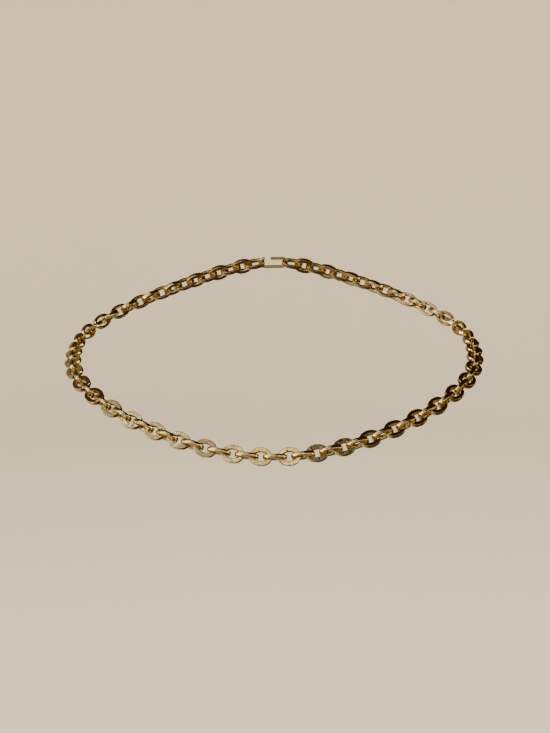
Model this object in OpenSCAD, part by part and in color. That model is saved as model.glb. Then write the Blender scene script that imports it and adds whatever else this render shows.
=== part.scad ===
// Waist chain: a closed loop of thick flat oval links, worn low on the hips.
// Every second link lies flat on the body, and the slimmer links between stand on edge and pass
// through the holes of their neighbours. One plain hook closes the loop at the centre of the back.
// Millimetres. +X is the wearer's left seen from the front, -Y the front, +Z up.
// The origin is the middle of the loop, on the axis of the body.

/* [Loop] */
// Half of the loop's greatest width, measured to the middle of the links
half_width = 164; // [145:0.5:185]
// Half of the loop's depth from front to back, measured to the middle of the links
half_depth = 120.3; // [105:0.1:140]
// Half of the height by which the back of the loop is above its front
half_rise = 62.8; // [30:0.1:75]
// Roll of the links about the chain at the front and the back, in degrees, 0 is upright
front_roll_angle = 30; // [0:1:45]
// Roll of the links about the chain over the hips, in degrees
hip_roll_angle = 70; // [40:1:80]

/* [Face links] */
// Length along the chain of a link that lies flat on the body
face_length = 17.5; // [16.8:0.1:18.3]
// Height of a face link across the chain
face_height = 14.2; // [13.8:0.1:15]
// Width of the metal between a face link's outline and its hole
face_wall = 3.85; // [3.4:0.05:3.95]

/* [Side links] */
// Length along the chain of a link that stands on edge
side_length = 18.5; // [17.8:0.1:19.4]
// Height of a side link, from the body outward
side_height = 12.2; // [11.8:0.1:13.4]
// Width of the metal between a side link's outline and its hole
side_wall = 2.7; // [2.4:0.05:2.85]

/* [All links] */
// Thickness of a link
link_thickness = 3.5; // [2.8:0.1:3.6]
// Height of the crown round a link's rim: how far its faces stop short of the outline
rim_crown = 0.2; // [0.15:0.05:0.5]
// Height of the crown inside a link's hole
hole_crown = 0.6; // [0.5:0.05:0.75]
// Play between two links that pull on each other
link_play = 0.15; // [0.15:0.05:0.6]

/* [Clasp] */
// Length of the hook that closes the loop
clasp_length = 26; // [24:0.5:32]
// Height of the hook across the chain
clasp_height = 11.4; // [11:0.1:13]
// Diameter of the hook's round wire
clasp_wire = 2.6; // [2:0.1:2.8]
// Width of the hook's mouth, through which the last link slips in
clasp_mouth = 5; // [4.4:0.1:6]
// Play between the hook and the link at each of its ends
clasp_play = 0.3; // [0.2:0.05:0.6]

/* [Hidden] */
gold = "goldenrod";
pale_gold = "gold";
arc_facets = 72;
wire_facets = 32;
side_ease = 0.02;

// The route round the body, as a short sum of waves round the loop.
// Columns: waves in one round, share of half_width, share of half_depth, share of half_rise.
WAVES = [
    [0, 0, 0.087, 0],
    [1, 1.034, -1.025, -0.83],
    [2, 0.047, -0.05, 0.005],
    [3, 0.008, 0.01, -0.165],
    [4, 0.029, -0.038, -0.01],
    [5, -0.027, 0.016, 0]
];

// How a link's rim and hole are crowned, from the middle of its thickness to its face.
// Columns: share of the half thickness, share of the crown's height.
CROWN = [
    [0.3, 0],
    [0.7, 0.4],
    [1, 1]
];

across = [for (row = WAVES) row[1] * half_width];
along = [for (row = WAVES) row[2] * half_depth];
lift = [for (row = WAVES) row[3] * half_rise];
waves = [for (row = WAVES) row[0]];

function sines(angle) = [for (count = waves) sin(count * angle)];
function cosines(angle) = [for (count = waves) cos(count * angle)];

// The point of the route at an angle round the loop, 0 at the front and 180 at the back
function route(angle) = [
    across * sines(angle),
    along * cosines(angle),
    lift * cosines(angle)
];

// Distance along the route from the front to each sampled angle of one half of the loop
samples = 720;
step_angle = 180 / samples;
points = [for (index = [0 : samples]) route(index * step_angle)];
steps = [for (index = [1 : samples]) points[index] - points[index - 1]];
distances = running([for (step = steps) norm(step)]);
function running(lengths, index = 0, sum = 0, done = [0]) =
    index == len(lengths) ? done
    : running(lengths, index + 1, sum + lengths[index], concat(done, [sum + lengths[index]]));
half_loop = distances[samples];
angle_table = [for (index = [0 : samples]) [distances[index], index * step_angle]];
function angle_at(distance) = sign(distance) * lookup(abs(distance), angle_table);

// A link's outline is four arcs: two round ends and two long sides, tangent where they meet.
// The end's centre, the long side's centre and the link's middle make a triangle of 5, 12 and 13.
function end_centre(length, height) = (length - height) / 1.6;
function end_radius(length, height) = length / 2 - end_centre(length, height);
join_angle = acos(5 / 13);
tip_angle = join_angle - 1;

// A hole's round end lets the next link in less far beside its crown than in the middle
half_thickness = link_thickness / 2;
face_hole_radius = end_radius(face_length, face_height) - face_wall;
side_hole_radius = end_radius(side_length, side_height) - side_wall;
function corner_loss(radius) = max([for (row = CROWN)
    radius - sqrt(radius ^ 2 - (row[0] * half_thickness) ^ 2) - row[1] * hole_crown]);

// Two neighbours would pull on each other with their middles this far apart
full_reach = (face_length + side_length) / 2 - face_wall - side_wall;

// At the sharpest bend of the route each link is turned this many degrees from the one before.
// Turning and twisting together cost about three times what the turn alone would.
turns_per_mm = [for (index = [1 : samples - 1])
    asin(norm(cross(unit(steps[index - 1]), unit(steps[index])))) / norm(steps[index])];
sharpest_turn = max(turns_per_mm) * full_reach;
turn_loss = 3 * CROWN[1][0] * half_thickness * sin(sharpest_turn);
corner_losses = corner_loss(face_hole_radius) + corner_loss(side_hole_radius);
longest_pitch = full_reach - corner_losses - turn_loss - link_play;

// The hook's round wire lies in the hole of the last link at each end, and that link in the hook
clasp_bend = (clasp_height - clasp_wire) / 2;
clasp_hold = corner_loss(clasp_bend - clasp_wire / 2) + clasp_play;
clasp_reach = clasp_length / 2 - clasp_wire - clasp_hold - side_wall + side_length / 2;
links_each_way = 2 * ceil((half_loop - clasp_reach) / longest_pitch / 2);
pitch = (half_loop - clasp_reach) / links_each_way;

// Direction of the chain, outward side and upper side of a link at an angle round the loop
function unit(vector) = vector / norm(vector);
function heading(angle) = unit(route(angle + step_angle) - route(angle - step_angle));
function level_outward(angle) = unit(cross(heading(angle), [0, 0, 1]));
function roll(angle) =
    front_roll_angle + (hip_roll_angle - front_roll_angle) * sin(angle) ^ 2;
function outward(angle) =
    level_outward(angle) * cos(roll(angle))
    + cross(level_outward(angle), heading(angle)) * sin(roll(angle));
function upward(angle) = cross(outward(angle), heading(angle));

// Sets its children on the chain, X along it, Y to the upper side and Z outward
module on_chain(angle) {
    x = heading(angle);
    y = upward(angle);
    z = outward(angle);
    o = route(angle);
    multmatrix([
        [x[0], y[0], z[0], o[0]],
        [x[1], y[1], z[1], o[1]],
        [x[2], y[2], z[2], o[2]],
        [0, 0, 0, 1]
    ])
    children();
}

// The metal of a link cut across, at a given radius of its outline, slimmer all round by ease
module link_section(radius, wall, ease = 0) {
    half = half_thickness - ease;
    outer = radius - ease;
    inner = radius - wall + ease;
    hole_side = [for (row = CROWN) [inner + row[1] * hole_crown, -row[0] * half]];
    rim_side = [for (row = CROWN) [outer - row[1] * rim_crown, row[0] * half]];
    polygon(concat(
        hole_side,
        [for (index = [len(CROWN) - 1 : -1 : 0]) [rim_side[index][0], -rim_side[index][1]]],
        rim_side,
        [for (index = [len(CROWN) - 1 : -1 : 0]) [hole_side[index][0], -hole_side[index][1]]]
    ));
}

// One link, flat in X and Y: two round ends, and two long sides whose tips are sunk in them
module link(length, height, wall) {
    centre = end_centre(length, height);
    radius = end_radius(length, height);
    for (turn = [0, 180])
        rotate(turn) {
            translate([centre, 0, 0])
            rotate_extrude(angle = 2 * join_angle, start = -join_angle, $fn = arc_facets)
            link_section(radius, wall);

            translate([0, -centre * 12 / 5, 0])
            rotate_extrude(angle = 180 - 2 * tip_angle, start = tip_angle, $fn = arc_facets)
            link_section(radius + centre * 13 / 5, wall, side_ease);
        }
}

// The links that lie flat on the body: every second one, counted from the front
module face_links() {
    color(gold)
    for (index = [1 - links_each_way : 2 : links_each_way - 1])
        on_chain(angle_at(index * pitch)) link(face_length, face_height, face_wall);
}

// The links that stand on edge between them
module side_links() {
    color(pale_gold)
    for (index = [-links_each_way : 2 : links_each_way])
        on_chain(angle_at(index * pitch))
        rotate([90, 0, 0]) link(side_length, side_height, side_wall);
}

// The hook: round wire bent to a long oval with a mouth in its upper side
module clasp_hook() {
    reach = clasp_length / 2 - clasp_wire / 2 - clasp_bend;
    color(gold)
    on_chain(180)
    for (end = [-1, 1]) {
        translate([end * reach, 0, 0])
        rotate_extrude(angle = 180, start = -90 * end, $fn = arc_facets)
        translate([clasp_bend, 0]) circle(d = clasp_wire, $fn = wire_facets);

        translate([0, end * clasp_bend, 0])
        clasp_bar(reach, end > 0 ? clasp_mouth : 0);
    }
}

// One straight side of the hook, with its mouth near one end
module clasp_bar(reach, mouth) {
    translate([-reach, 0, 0])
    rotate([0, 90, 0]) cylinder(d = clasp_wire, h = 2 * reach - mouth, $fn = wire_facets);
}

face_links();
side_links();
clasp_hook();
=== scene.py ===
import math

import bpy
import numpy as np
from mathutils import Matrix, Vector


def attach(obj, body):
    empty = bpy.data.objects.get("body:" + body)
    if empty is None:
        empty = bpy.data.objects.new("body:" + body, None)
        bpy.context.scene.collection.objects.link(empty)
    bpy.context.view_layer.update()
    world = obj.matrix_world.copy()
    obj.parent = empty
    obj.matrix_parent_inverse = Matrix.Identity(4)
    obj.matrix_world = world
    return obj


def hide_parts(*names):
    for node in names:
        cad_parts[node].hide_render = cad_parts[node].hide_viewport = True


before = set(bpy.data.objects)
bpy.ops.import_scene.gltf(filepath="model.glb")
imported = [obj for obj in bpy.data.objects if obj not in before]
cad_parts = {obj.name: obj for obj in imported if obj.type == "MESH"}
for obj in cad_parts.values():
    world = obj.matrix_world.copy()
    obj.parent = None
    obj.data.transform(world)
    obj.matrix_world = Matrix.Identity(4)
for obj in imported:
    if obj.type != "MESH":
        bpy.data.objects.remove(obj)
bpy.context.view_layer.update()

MM = 0.001

# The same named sizes as in part.scad, in millimetres and degrees
HALF_WIDTH = 164.0
HALF_DEPTH = 120.3
HALF_RISE = 62.8
FRONT_ROLL = 30.0
HIP_ROLL = 70.0
# Length, height and wall of a face link and of a side link
FACE_LINK = (17.5, 14.2, 3.85)
SIDE_LINK = (18.5, 12.2, 2.7)
LINK_THICKNESS = 3.5
RIM_CROWN = 0.2
HOLE_CROWN = 0.6
LINK_PLAY = 0.15
CLASP_LENGTH = 26.0
CLASP_HEIGHT = 11.4
CLASP_WIRE = 2.6
CLASP_MOUTH = 5.0
CLASP_PLAY = 0.3
SAMPLES = 720

# The route round the body, as a short sum of waves round the loop.
# Columns: waves in one round, share of the half width, share of the half depth, share of the half rise.
WAVES = np.array([
    [0, 0, 0.087, 0],
    [1, 1.034, -1.025, -0.83],
    [2, 0.047, -0.05, 0.005],
    [3, 0.008, 0.01, -0.165],
    [4, 0.029, -0.038, -0.01],
    [5, -0.027, 0.016, 0],
])

# How a link's rim and hole are crowned, from the middle of its thickness to its face.
# Columns: share of the half thickness, share of the crown's height.
CROWN = ((0.3, 0.0), (0.7, 0.4), (1.0, 1.0))

# A side link's rim is polished a little rounder than the plain part shows
SIDE_RIM_CROWN = 0.38
# How the corners of a link's cut metal are rounded, from the middle of its hole to the middle of its rim.
# Columns: radius, number of facets.
CORNERS = ((2.0, 1), (2.2, 1), (0.42, 4), (0.4, 4), (2.8, 1), (4.6, 1))
# Facets along a quarter of a link's outline: in its round end and in its long side
END_FACETS = 10
SIDE_FACETS = 4
# The hook's wire: facets round it, along each of its bends and along its open and closed sides
WIRE_FACETS = 24
BEND_FACETS = 24
OPEN_SIDE_FACETS = 11
CLOSED_SIDE_FACETS = 13
# The rounding of the wire's two tips: its radius, and the angles of its rings in degrees
TIP_ROUND = 0.35
TIP_ANGLES = (15, 35, 55, 75)

# How far a link settles at random off its plain place, in degrees
SETTLE_SEED = 7
ROLL_SPREAD = 1.5
YAW_SPREAD = 0.5
# Roll in degrees that the photo adds to the front links' plain one, by number from the front's middle
FRONT_SETTLE = {
    -11: 4, -10: 2, -8: 2, -7: 5, -5: -6, -4: -7, -3: -8, -2: -8, -1: -9, 0: -9, 1: -8, 2: -1,
    3: 6, 4: 8, 5: 8, 6: 8, 7: 8, 8: 8, 9: 7, 10: 6, 11: 5, 12: 4,
}

# The gold's colours: freshly polished, in its deeper patches, a painted dark reflection along its edges,
# and under its dull film
POLISHED_GOLD = (0.94, 0.77, 0.45)
DEEPER_GOLD = (0.88, 0.69, 0.37)
PAINTED_EDGE_REFLECTION = (0.42, 0.28, 0.12)
FILM_GOLD = (0.66, 0.52, 0.27)
GOLD_ROUGHNESS = 0.06
# How far the gold's patterns move from one end of the chain to the other
PATTERN_SHIFT = (913.0, 517.0, 271.0)
# The greatest depth of the wave from polishing and of the scratches, in metres
WAVE_DEPTH = 0.0005
SCRATCH_DEPTH = 0.00003

# The photo's height, and the camera's focal length and shifts, in the photo's pixels
PHOTO_HEIGHT = 733
FOCAL_PIXELS = 1760
SHIFT_PIXELS = (1.0, -16.1)
# The sensor's longer side in millimetres
SENSOR = 36
# The camera's place in metres, and its tilt and roll in degrees
CAMERA_PLACE = (0, -1.4173, 0.2004)
CAMERA_TILT = 8
CAMERA_ROLL = -0.5


# The route and the places of the links, as in part.scad

def route(angle):
    """Points of the route at angles round the loop, 0 at the front and pi at the back."""
    angle = np.atleast_1d(np.asarray(angle, float))
    turns = angle[:, None] * WAVES[:, 0]
    x = np.sin(turns) @ WAVES[:, 1] * HALF_WIDTH
    y = np.cos(turns) @ WAVES[:, 2] * HALF_DEPTH
    z = np.cos(turns) @ WAVES[:, 3] * HALF_RISE
    return np.stack([x, y, z], 1)


def unit(vector):
    return vector / np.linalg.norm(vector)


def outline(length, height):
    """Distance of a link's end centres from its middle, and the radius of its ends."""
    centre = (length - height) / 1.6
    return centre, length / 2 - centre


def hole_radius(length, height, wall):
    return outline(length, height)[1] - wall


def corner_loss(radius):
    """How much less far a hole's round end lets the next link in beside its crown than in the middle."""
    losses = []
    for thickness_share, crown_share in CROWN:
        side = thickness_share * HALF_THICKNESS
        losses.append(radius - math.sqrt(radius ** 2 - side ** 2) - crown_share * HOLE_CROWN)
    return max(losses)


ANGLES = np.linspace(0, math.pi, SAMPLES + 1)
STEPS = np.diff(route(ANGLES), axis=0)
STEP_LENGTHS = np.linalg.norm(STEPS, axis=1)
DISTANCES = np.concatenate([[0], np.cumsum(STEP_LENGTHS)])
HALF_LOOP = DISTANCES[-1]
STEP_ANGLE = math.radians(180 / SAMPLES)

# The end's centre, the long side's centre and the link's middle make a triangle of 5, 12 and 13
JOIN_ANGLE = math.acos(5 / 13)
HALF_THICKNESS = LINK_THICKNESS / 2
FULL_REACH = (FACE_LINK[0] + SIDE_LINK[0]) / 2 - FACE_LINK[2] - SIDE_LINK[2]

HEADINGS = STEPS / STEP_LENGTHS[:, None]
TURNS = np.degrees(np.arcsin(np.linalg.norm(np.cross(HEADINGS[:-1], HEADINGS[1:]), axis=1)))
SHARPEST_TURN = (TURNS / STEP_LENGTHS[1:]).max() * FULL_REACH
TURN_LOSS = 3 * CROWN[1][0] * HALF_THICKNESS * math.sin(math.radians(SHARPEST_TURN))
CORNER_LOSSES = corner_loss(hole_radius(*FACE_LINK)) + corner_loss(hole_radius(*SIDE_LINK))
LONGEST_PITCH = FULL_REACH - CORNER_LOSSES - TURN_LOSS - LINK_PLAY

CLASP_BEND = (CLASP_HEIGHT - CLASP_WIRE) / 2
CLASP_HOLD = corner_loss(CLASP_BEND - CLASP_WIRE / 2) + CLASP_PLAY
CLASP_REACH = CLASP_LENGTH / 2 - CLASP_WIRE - CLASP_HOLD - SIDE_LINK[2] + SIDE_LINK[0] / 2
EACH_WAY = 2 * math.ceil((HALF_LOOP - CLASP_REACH) / LONGEST_PITCH / 2)
PITCH = (HALF_LOOP - CLASP_REACH) / EACH_WAY


def axes_at(angle):
    """A place on the route, and a matrix of the directions along the chain, up the link and outward."""
    along = unit(route(angle + STEP_ANGLE)[0] - route(angle - STEP_ANGLE)[0])
    level = unit(np.cross(along, [0, 0, 1]))
    roll = math.radians(FRONT_ROLL + (HIP_ROLL - FRONT_ROLL) * math.sin(angle) ** 2)
    outward = level * math.cos(roll) + np.cross(level, along) * math.sin(roll)
    return route(angle)[0], np.stack([along, np.cross(outward, along), outward], 1)


def angle_at(index):
    return math.copysign(np.interp(abs(index) * PITCH, DISTANCES, ANGLES), index)


def turned(axis, degrees):
    return np.array(Matrix.Rotation(math.radians(degrees), 3, Vector(axis)))


def settled():
    """Roll about the chain and yaw of each link off its plain place, in degrees, by its number."""
    rng = np.random.default_rng(SETTLE_SEED)
    settle = {}
    for index in range(-EACH_WAY, EACH_WAY + 1):
        roll = ROLL_SPREAD * rng.uniform(-1, 1)
        yaw = YAW_SPREAD * rng.uniform(-1, 1)
        settle[index] = (roll + FRONT_SETTLE.get(index, 0), yaw)
    return settle


SETTLE = settled()


# The link's mesh

def rounded(corners, radii, facets):
    """A closed section with each corner rounded, as points and outward normals."""
    points, normals = [], []
    count = len(corners)
    for k in range(count):
        corner = corners[k]
        into = unit(corner - corners[k - 1])
        out = unit(corners[(k + 1) % count] - corner)
        half = math.acos(np.clip(into @ out, -1, 1)) / 2
        start = corner - into * radii[k] * math.tan(half)
        first = np.array([into[1], -into[0]])
        centre = start - first * radii[k]
        first_angle = math.atan2(first[1], first[0])
        for step in range(facets[k] + 1):
            angle = first_angle + 2 * half * step / facets[k]
            normal = np.array([math.cos(angle), math.sin(angle)])
            points.append(centre + normal * radii[k])
            normals.append(normal)
    return np.array(points), np.array(normals)


def link_section(wall, rim_crown):
    """The metal cut across, its rim and hole crowned and its faces flat, measured from the outline."""
    lower = [(-wall + share * HOLE_CROWN, -side * HALF_THICKNESS) for side, share in CROWN]
    lower += [(-share * rim_crown, -side * HALF_THICKNESS) for side, share in reversed(CROWN)]
    upper = [(x, -z) for x, z in reversed(lower)]
    radii = [radius for radius, _ in CORNERS]
    facets = [number for _, number in CORNERS]
    return rounded(np.array(lower + upper), radii + radii[::-1], facets + facets[::-1])


def link_outline(length, height):
    """The outline's four quarters as (centre x, centre y, radius, angle, sign of x, sign of y)."""
    centre, radius = outline(length, height)
    below = -centre * 12 / 5
    wide = radius + centre * 13 / 5
    end_angles = np.linspace(0, JOIN_ANGLE, END_FACETS + 1)[:-1]
    side_angles = np.linspace(JOIN_ANGLE, math.pi / 2, SIDE_FACETS + 1)[:-1]
    quarter = [(centre, 0.0, radius, angle) for angle in end_angles]
    quarter += [(0.0, below, wide, angle) for angle in side_angles]
    back = [(0.0, below, wide, math.pi / 2)] + quarter[:0:-1]
    quarters = ((quarter, 1, 1), (back, -1, 1), (quarter, -1, -1), (back, 1, -1))
    return [(*station, sign_x, sign_y) for stations, sign_x, sign_y in quarters for station in stations]


def link_mesh(length, height, wall, rim_crown):
    """One link flat in X and Y: vertices, their normals and faces, in millimetres."""
    points, point_normals = link_section(wall, rim_crown)
    stations = link_outline(length, height)
    vertices, normals = [], []
    for centre_x, centre_y, radius, angle, sign_x, sign_y in stations:
        outward = np.array([math.cos(angle) * sign_x, math.sin(angle) * sign_y])
        centre = np.array([centre_x * sign_x, centre_y * sign_y])
        for (inset, z), (normal_out, normal_z) in zip(points, point_normals):
            vertices.append([*(centre + outward * (radius + inset)), z])
            normals.append([*(outward * normal_out), normal_z])
    faces = []
    for i in range(len(stations)):
        this_ring = i * len(points)
        next_ring = (i + 1) % len(stations) * len(points)
        for j in range(len(points)):
            k = (j + 1) % len(points)
            faces.append((this_ring + j, next_ring + j, next_ring + k, this_ring + k))
    return np.array(vertices), np.array(normals), faces


# The hook's mesh

def clasp_line(reach):
    """Middle of the wire: the side with the mouth, a bend, the closed side and the other bend."""
    bend_angles = np.linspace(0, math.pi, BEND_FACETS + 1)[1:]
    line = [(x, CLASP_BEND) for x in np.linspace(reach - CLASP_MOUTH, -reach, OPEN_SIDE_FACETS + 1)]
    line += [(-reach - CLASP_BEND * math.sin(a), CLASP_BEND * math.cos(a)) for a in bend_angles]
    line += [(x, -CLASP_BEND) for x in np.linspace(-reach, reach, CLOSED_SIDE_FACETS + 1)[1:]]
    line += [(reach + CLASP_BEND * math.sin(a), -CLASP_BEND * math.cos(a)) for a in bend_angles]
    return np.array(line)


def clasp_rings():
    """Rings of the hook's wire as (middle, direction, radius, lean of the surface along the wire)."""
    radius = CLASP_WIRE / 2
    line = clasp_line(CLASP_LENGTH / 2 - radius - CLASP_BEND)
    along = np.gradient(line, axis=0)
    along /= np.linalg.norm(along, axis=1)[:, None]
    rings = [(middle, direction, radius, 0.0) for middle, direction in zip(line, along)]
    rings[0] = (line[0] + along[0] * TIP_ROUND, along[0], radius, 0.0)
    rings[-1] = (line[-1] - along[-1] * TIP_ROUND, along[-1], radius, 0.0)
    first_tip, last_tip = [], []
    for degrees in TIP_ANGLES:
        lean = math.sin(math.radians(degrees))
        inset = TIP_ROUND * (1 - lean)
        tip_radius = radius - TIP_ROUND + TIP_ROUND * math.cos(math.radians(degrees))
        first_tip.insert(0, (line[0] + along[0] * inset, along[0], tip_radius, -lean))
        last_tip.append((line[-1] - along[-1] * inset, along[-1], tip_radius, lean))
    return first_tip + rings + last_tip


def clasp_mesh():
    """The hook flat in X and Y: vertices, their normals and faces, in millimetres."""
    rings = clasp_rings()
    vertices, normals = [], []
    for middle, direction, radius, lean in rings:
        for angle in np.linspace(0, 2 * math.pi, WIRE_FACETS, endpoint=False):
            cos, sin = math.cos(angle), math.sin(angle)
            out = np.array([direction[1] * cos, -direction[0] * cos, sin])
            vertices.append([middle[0] + out[0] * radius, middle[1] + out[1] * radius, out[2] * radius])
            normals.append(unit(out * math.sqrt(1 - lean ** 2) + np.array([*direction, 0]) * lean))
    faces = []
    for i in range(len(rings) - 1):
        for j in range(WIRE_FACETS):
            a = i * WIRE_FACETS + j
            b = i * WIRE_FACETS + (j + 1) % WIRE_FACETS
            faces.append((b, a, a + WIRE_FACETS, b + WIRE_FACETS))
    for ring, side in ((0, -1), (len(rings) - 1, 1)):
        middle, direction = rings[ring][:2]
        tip = len(vertices)
        vertices.append([*middle, 0])
        normals.append([*(direction * side), 0])
        for j in range(WIRE_FACETS):
            a = ring * WIRE_FACETS + j
            b = ring * WIRE_FACETS + (j + 1) % WIRE_FACETS
            faces.append((a, b, tip) if side < 0 else (b, a, tip))
    return np.array(vertices), np.array(normals), faces


# Materials

def noise(tree, vector, scale, detail, roughness=0.5):
    node = tree.nodes.new("ShaderNodeTexNoise")
    node.inputs["Scale"].default_value = scale
    node.inputs["Detail"].default_value = detail
    node.inputs["Roughness"].default_value = roughness
    tree.links.new(vector, node.inputs["Vector"])
    return node.outputs["Fac"]


def map_range(tree, value, start, end, low, high):
    """Turns start into low and end into high, in a straight line between them."""
    node = tree.nodes.new("ShaderNodeMapRange")
    node.inputs["From Min"].default_value = start
    node.inputs["From Max"].default_value = end
    node.inputs["To Min"].default_value = low
    node.inputs["To Max"].default_value = high
    tree.links.new(value, node.inputs["Value"])
    return node


def mixed(tree, factor, below, above):
    """The colour below at factor 0 and the colour above at factor 1, each three numbers or a socket."""
    node = tree.nodes.new("ShaderNodeMix")
    node.data_type = "RGBA"
    tree.links.new(factor, node.inputs["Factor"])
    for name, value in (("A", below), ("B", above)):
        if isinstance(value, tuple):
            node.inputs[name].default_value = (*value, 1)
        else:
            tree.links.new(value, node.inputs[name])
    return node.outputs["Result"]


def bump(tree, height, strength, distance):
    node = tree.nodes.new("ShaderNodeBump")
    node.inputs["Strength"].default_value = strength
    node.inputs["Distance"].default_value = distance
    tree.links.new(height, node.inputs["Height"])
    return node


def place_on_link(tree):
    """Place on the link in millimetres, moved by the link's number so that no two links look the same."""
    place = tree.nodes.new("ShaderNodeAttribute")
    place.attribute_name = "link_place"
    number = tree.nodes.new("ShaderNodeAttribute")
    number.attribute_name = "link_number"
    numbers = tree.nodes.new("ShaderNodeCombineXYZ")
    for socket in ("X", "Y", "Z"):
        tree.links.new(number.outputs["Fac"], numbers.inputs[socket])
    moved = tree.nodes.new("ShaderNodeVectorMath")
    moved.operation = "MULTIPLY_ADD"
    tree.links.new(numbers.outputs["Vector"], moved.inputs[0])
    moved.inputs[1].default_value = PATTERN_SHIFT
    tree.links.new(place.outputs["Vector"], moved.inputs[2])
    return moved.outputs["Vector"]


def gold_color(tree, place, haze):
    """Patches of two golds, a painted dark reflection along the edges, and a dull film where the haze is
    thick.
    """
    patches = tree.nodes.new("ShaderNodeValToRGB")
    deeper, polished = patches.color_ramp.elements
    deeper.position = 0.35
    deeper.color = (*DEEPER_GOLD, 1)
    polished.position = 0.65
    polished.color = (*POLISHED_GOLD, 1)
    tree.links.new(noise(tree, place, 0.22, 3.0), patches.inputs["Fac"])
    shape = tree.nodes.new("ShaderNodeNewGeometry")
    # The sharp convex edges are painted darker: a painted dark reflection, standing in for the dark
    # outline that polished edges mirror.
    painted_edge_outline = map_range(tree, shape.outputs["Pointiness"], 0.51, 0.60, 0.0, 1.0)
    color = mixed(tree, painted_edge_outline.outputs["Result"], patches.outputs["Color"], PAINTED_EDGE_REFLECTION)
    film = map_range(tree, haze, 0.42, 0.62, 0.0, 0.75)
    return mixed(tree, film.outputs["Result"], color, FILM_GOLD)


def gold_relief(tree, place):
    """A slight wave from polishing by hand, with fine scratches on it, as the surface's normal."""
    wave = bump(tree, noise(tree, place, 0.28, 3.0), 0.5, WAVE_DEPTH)
    stretched = tree.nodes.new("ShaderNodeMapping")
    stretched.inputs["Scale"].default_value = (1.2, 14.0, 14.0)
    stretched.inputs["Rotation"].default_value = (0.3, 0.2, 0.5)
    tree.links.new(place, stretched.inputs["Vector"])
    scratches = bump(tree, noise(tree, stretched.outputs["Vector"], 1.6, 2.0), 0.25, SCRATCH_DEPTH)
    tree.links.new(wave.outputs["Normal"], scratches.inputs["Normal"])
    return scratches.outputs["Normal"]


def gold(name):
    """Polished gold plate, worn a little."""
    material = bpy.data.materials.new(name)
    material.use_nodes = True
    tree = material.node_tree
    shader = tree.nodes["Principled BSDF"]
    shader.inputs["Metallic"].default_value = 1.0
    place = place_on_link(tree)
    haze = noise(tree, place, 0.9, 6.0, 0.7)
    spread = map_range(tree, haze, 0.35, 0.7, GOLD_ROUGHNESS * 0.8, GOLD_ROUGHNESS * 1.5)
    tree.links.new(gold_color(tree, place, haze), shader.inputs["Base Color"])
    tree.links.new(spread.outputs["Result"], shader.inputs["Roughness"])
    tree.links.new(gold_relief(tree, place), shader.inputs["Normal"])
    return material


def matt(name, color):
    material = bpy.data.materials.new(name)
    material.use_nodes = True
    shader = material.node_tree.nodes["Principled BSDF"]
    shader.inputs["Base Color"].default_value = (*color, 1)
    shader.inputs["Roughness"].default_value = 0.9
    return material


# The chain

def smooth_object(name, vertices, faces, material):
    mesh = bpy.data.meshes.new(name)
    mesh.from_pydata(vertices, [], faces)
    mesh.polygons.foreach_set("use_smooth", [True] * len(mesh.polygons))
    mesh.materials.append(material)
    obj = bpy.data.objects.new(name, mesh)
    bpy.context.scene.collection.objects.link(obj)
    return obj


def placed(angle, swing, number, vertices, normals, faces):
    """A link or the hook put on the chain, with its number and its place before it was put there."""
    origin, basis = axes_at(angle)
    basis = basis @ swing
    return vertices @ basis.T + origin, normals @ basis.T, faces, number, vertices


def placed_link(index, mesh):
    roll, yaw = SETTLE[index]
    swing = turned((1, 0, 0), -roll) @ turned((0, 1, 0), yaw)
    if index % 2 == 0:
        swing = swing @ turned((1, 0, 0), 90)
    return placed(angle_at(index), swing, (index + EACH_WAY) / (2 * EACH_WAY), *mesh)


def chain_piece(name, node, parts, material):
    """One object from placed parts, which stands in for a node of the frame."""
    vertices = np.concatenate([part[0] for part in parts]) * MM
    normals = np.concatenate([part[1] for part in parts])
    numbers = np.concatenate([np.full(len(part[0]), part[3], np.float32) for part in parts])
    places = np.concatenate([part[4] for part in parts]).astype(np.float32)
    faces, start = [], 0
    for part in parts:
        faces += [tuple(start + corner for corner in face) for face in part[2]]
        start += len(part[0])
    obj = smooth_object(name, vertices.tolist(), faces, material)
    number = obj.data.attributes.new("link_number", "FLOAT", "POINT")
    number.data.foreach_set("value", numbers)
    place = obj.data.attributes.new("link_place", "FLOAT_VECTOR", "POINT")
    place.data.foreach_set("vector", places.ravel())
    obj.data.update()
    obj.data.normals_split_custom_set_from_vertices([tuple(normal) for normal in normals])
    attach(obj, "root")
    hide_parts(node)


def face_links(material):
    """The links that lie flat on the body."""
    mesh = link_mesh(*FACE_LINK, RIM_CROWN)
    parts = [placed_link(index, mesh) for index in range(1 - EACH_WAY, EACH_WAY, 2)]
    chain_piece("face_links_polished", "face_links", parts, material)


def side_links(material):
    """The links that stand on edge between them."""
    mesh = link_mesh(*SIDE_LINK, SIDE_RIM_CROWN)
    parts = [placed_link(index, mesh) for index in range(-EACH_WAY, EACH_WAY + 1, 2)]
    chain_piece("side_links_polished", "side_links", parts, material)


def clasp_hook(material):
    """The hook that closes the loop at the back."""
    part = placed(math.pi, np.identity(3), 0.0, *clasp_mesh())
    chain_piece("clasp_hook_polished", "clasp_hook", [part], material)


link_gold = gold("link_gold")
face_links(link_gold)
side_links(link_gold)
clasp_hook(gold("clasp_gold"))


# The stage

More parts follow.
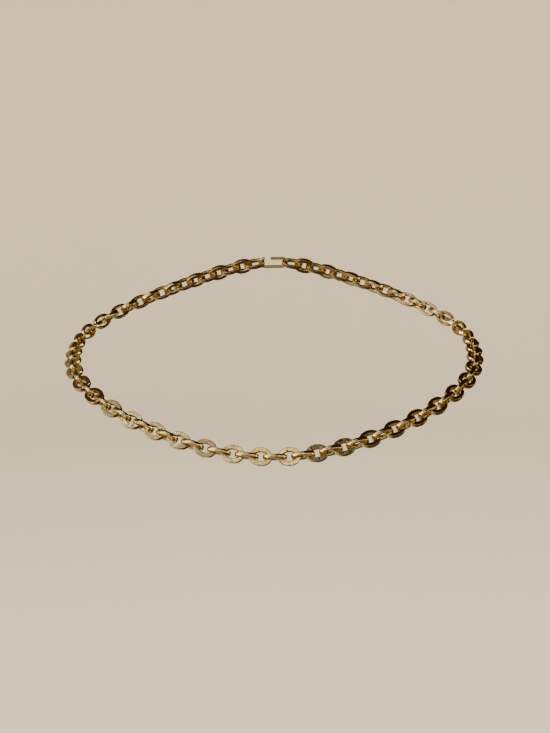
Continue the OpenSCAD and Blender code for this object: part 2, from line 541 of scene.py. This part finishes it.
def cove():
    """A pale round floor that sweeps up into a wall on all sides, in metres."""
    floor_z = -0.42
    wall_radius = 3.0
    bend = 1.0
    wall_top = 2.4
    facets_around = 96
    bend_facets = 16
    around = np.linspace(0, 2 * math.pi, facets_around, endpoint=False)
    profile = [(wall_radius - bend + bend * math.sin(angle), floor_z + bend * (1 - math.cos(angle)))
               for angle in np.linspace(0, math.pi / 2, bend_facets + 1)]
    profile.append((wall_radius, wall_top))
    vertices = [(radius * math.cos(angle), radius * math.sin(angle), z)
                for radius, z in profile for angle in around]
    faces = [tuple(range(facets_around))]
    for k in range(len(profile) - 1):
        low, high = k * facets_around, (k + 1) * facets_around
        for j in range(facets_around):
            after = (j + 1) % facets_around
            faces.append((low + j, high + j, high + after, low + after))
    return smooth_object("floor", vertices, faces, matt("floor_paper", (0.87, 0.775, 0.625)))


def area_light(name, where, size, power, color):
    data = bpy.data.lights.new(name, "AREA")
    data.shape = "RECTANGLE"
    data.size, data.size_y = size
    data.energy = power
    data.color = color
    light = bpy.data.objects.new(name, data)
    bpy.context.scene.collection.objects.link(light)
    light.location = where
    light.rotation_euler = (Vector((0, 0, 0)) - Vector(where)).to_track_quat("-Z", "Y").to_euler()
    return light


floor = cove()
floor.visible_glossy = False
area_light("key_left", (-1.55, -1.3, 1.75), (1.4, 1.1), 7, (1.0, 0.95, 0.84))
area_light("strip_left", (-0.75, -0.75, 2.3), (0.7, 0.35), 1.1, (1.0, 0.95, 0.84))
wash = area_light("wash", (0.0, -0.4, 2.6), (2.6, 1.6), 112, (1.0, 0.98, 0.925))
wash.visible_glossy = False


def surroundings(tree, direction):
    """Colour of what the gold mirrors in a direction, x to the right, y to the back and z up."""

    def ramp(socket, start, end):
        """1 up to start and 0 from end, or 0 up to end and 1 from start where end is the lower one."""
        node = map_range(tree, socket, start, end, 1.0, 0.0)
        node.interpolation_type = "SMOOTHSTEP"
        return node.outputs["Result"]

    def product(first, second):
        node = tree.nodes.new("ShaderNodeMath")
        node.operation = "MULTIPLY"
        tree.links.new(first, node.inputs[0])
        tree.links.new(second, node.inputs[1])
        return node.outputs["Value"]

    parts = tree.nodes.new("ShaderNodeSeparateXYZ")
    tree.links.new(direction, parts.inputs["Vector"])
    x, y, z = parts.outputs["X"], parts.outputs["Y"], parts.outputs["Z"]
    # A height whose level lines sink toward the back
    leaning = tree.nodes.new("ShaderNodeVectorMath")
    leaning.operation = "DOT_PRODUCT"
    tree.links.new(direction, leaning.inputs[0])
    leaning.inputs[1].default_value = (0.0, 0.22, 1.0)
    height = leaning.outputs["Value"]

    # High up: a soft window at the front left, mustard at the far left, nearly black at the right
    window = product(product(ramp(x, -0.02, 0.17), ramp(y, -0.05, 0.05)), ramp(z, 0.93, 0.97))
    mustard = mixed(tree, ramp(z, 0.35, 0.85), (0.06, 0.037, 0.018), (0.30, 0.23, 0.12))
    dark = mixed(tree, ramp(x, -0.25, -0.1), (0.021, 0.011, 0.006), mustard)
    high = mixed(tree, window, dark, (0.43, 0.425, 0.355))

    # Low down: a pale wall at the front with a thin bright line above it, and a wall at the back left
    front = ramp(y, -0.3, -0.1)
    back = mixed(tree, ramp(x, -0.1, 0.1), (0.06, 0.032, 0.017), (0.34, 0.27, 0.17))
    low = mixed(tree, front, back, (0.27, 0.205, 0.12))
    low = mixed(tree, product(front, ramp(height, 0.27, 0.21)), low, (0.64, 0.61, 0.47))
    glint = product(front, product(ramp(height, 0.33, 0.345), ramp(height, 0.305, 0.29)))
    low = mixed(tree, glint, low, (2.2, 1.8, 0.95))

    # Below: pale at the left, brown at the right and at the front
    down = mixed(tree, ramp(z, -0.97, -0.88), (0.50, 0.43, 0.31), (0.26, 0.20, 0.12))
    near = product(ramp(y, -0.35, -0.15), ramp(z, -0.45, -0.3))
    down = mixed(tree, near, down, (0.06, 0.03, 0.016))
    down = mixed(tree, ramp(x, -0.1, 0.15), (0.06, 0.032, 0.018), down)

    # A dark panel at the far left, and a small lamp at each side
    shade = product(ramp(x, -0.86, -0.74), product(ramp(z, 0.04, 0.1), ramp(z, -0.5, -0.6)))
    right_lamp = product(ramp(x, 0.93, 0.87), product(ramp(z, 0.24, 0.3), ramp(z, 0.08, 0.02)))
    left_side = product(ramp(x, -0.66, -0.58), product(ramp(z, 0.36, 0.44), ramp(z, 0.12, 0.06)))
    left_lamp = product(left_side, ramp(y, 0.09, 0.17))

    color = mixed(tree, ramp(height, 0.40, 0.50), high, low)
    color = mixed(tree, ramp(z, -0.12, -0.02), color, down)
    color = mixed(tree, shade, color, (0.06, 0.032, 0.017))
    color = mixed(tree, right_lamp, color, (2.8, 2.3, 1.2))
    return mixed(tree, left_lamp, color, (3.6, 3.0, 1.6))


def studio_world():
    """The surroundings, made uneven as those of a furnished room are."""
    world = bpy.data.worlds.new("studio")
    bpy.context.scene.world = world
    world.use_nodes = True
    tree = world.node_tree
    background = tree.nodes["Background"]
    direction = tree.nodes.new("ShaderNodeTexCoord").outputs["Generated"]
    clutter = map_range(tree, noise(tree, direction, 13.0, 2.0), 0.35, 0.65, 0.48, 1.85)
    uneven = tree.nodes.new("ShaderNodeVectorMath")
    uneven.operation = "SCALE"
    tree.links.new(surroundings(tree, direction), uneven.inputs[0])
    tree.links.new(clutter.outputs["Result"], uneven.inputs["Scale"])
    tree.links.new(uneven.outputs["Vector"], background.inputs["Color"])
    background.inputs["Strength"].default_value = 1.0


studio_world()


# The camera

camera_data = bpy.data.cameras.new("camera")
camera_data.lens = FOCAL_PIXELS * SENSOR / PHOTO_HEIGHT
camera_data.sensor_width = SENSOR
camera_data.shift_x = SHIFT_PIXELS[0] / PHOTO_HEIGHT
camera_data.shift_y = SHIFT_PIXELS[1] / PHOTO_HEIGHT
camera_data.clip_start = 0.05
camera = bpy.data.objects.new("camera", camera_data)
bpy.context.scene.collection.objects.link(camera)
tilt = Matrix.Rotation(math.radians(90 - CAMERA_TILT), 4, "X")
roll = Matrix.Rotation(math.radians(CAMERA_ROLL), 4, "Z")
camera.matrix_world = Matrix.Translation(CAMERA_PLACE) @ tilt @ roll
bpy.context.scene.camera = camera
